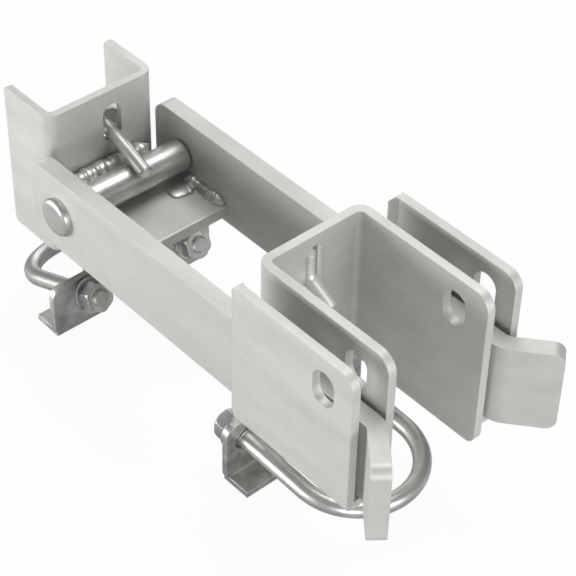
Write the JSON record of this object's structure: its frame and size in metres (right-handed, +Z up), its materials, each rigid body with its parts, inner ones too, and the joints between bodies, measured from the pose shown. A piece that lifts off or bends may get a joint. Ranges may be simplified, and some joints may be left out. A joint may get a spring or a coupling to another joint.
{
  "type": "gravity gate latch",
  "caption": "Gravity latch for a pair of gates: a channel on one upright carries a drop arm frame that falls over a fork clamped to the other upright.",
  "frame": {"origin": "on the axis of the rear gate upright, level with the pivot of the arms", "axes": "+X along the closed arms towards the catch, +Y to the far side, +Z up along the uprights"},
  "size_m": [0.2782, 0.1052, 0.1253],
  "materials": {
    "galvanised_plate": "bright zinc plated, faintly mottled",
    "galvanised_arm": "bright zinc plated flat bar",
    "zinc_rod": "dull zinc plated rod",
    "zinc_fastener": "dull zinc plated fasteners",
    "weld_metal": "zinc plated weld beads, rippled"
  },
  "bodies": {
    "rear_bracket": {"rear_channel": "galvanised_plate", "hinge_sleeve": "zinc_rod", "hinge_weld": "weld_metal", "rear_saddle": "zinc_fastener"},
    "arm_frame": {"near_arm": "galvanised_arm", "far_arm": "galvanised_arm", "cross_plate": "galvanised_plate", "cross_plate_welds": "weld_metal", "pivot_pin": "zinc_rod"},
    "rear_clamp": {"rear_u_bolt": "zinc_rod", "rear_washers": "zinc_fastener", "rear_nuts": "zinc_fastener"},
    "rear_bolt": {"rear_fixing_bolt": "zinc_rod"},
    "catch": {"fork_channel": "galvanised_plate", "near_side_plate": "galvanised_plate", "far_side_plate": "galvanised_plate", "side_plate_welds": "weld_metal", "front_saddle": "zinc_fastener", "front_hook_pin": "zinc_rod"},
    "front_clamp": {"front_u_bolt": "zinc_rod", "front_washers": "zinc_fastener", "front_nuts": "zinc_fastener"}
  },
  "joints": [
    {"name": "arm_lift", "type": "hinge", "parent": "rear_bracket", "child": "arm_frame", "pos_m": [0.0445, 0, 0], "axis": [0, -1, 0], "range_deg": [0, 80]},
    {"name": "leaf_gap", "type": "slide", "parent": "rear_bracket", "child": "catch", "axis": [-1, 0, 0], "range_m": [0, 0.02]},
    {"name": "rear_clamp_swing", "type": "hinge", "parent": "rear_bracket", "child": "rear_clamp", "pos_m": [0.0435, 0, -0.05], "axis": [0, 1, 0], "range_deg": [0, 23]},
    {"name": "rear_bolt_tilt", "type": "hinge", "parent": "rear_bracket", "child": "rear_bolt", "pos_m": [0.02595, 0.005, 0.01475], "axis": [-0.1063, -0.9943, 0], "range_deg": [0, 10]},
    {"name": "front_clamp_swing", "type": "hinge", "parent": "catch", "child": "front_clamp", "pos_m": [0.1555, 0, -0.055], "axis": [0, -1, 0], "range_deg": [0, 6]}
  ]
}
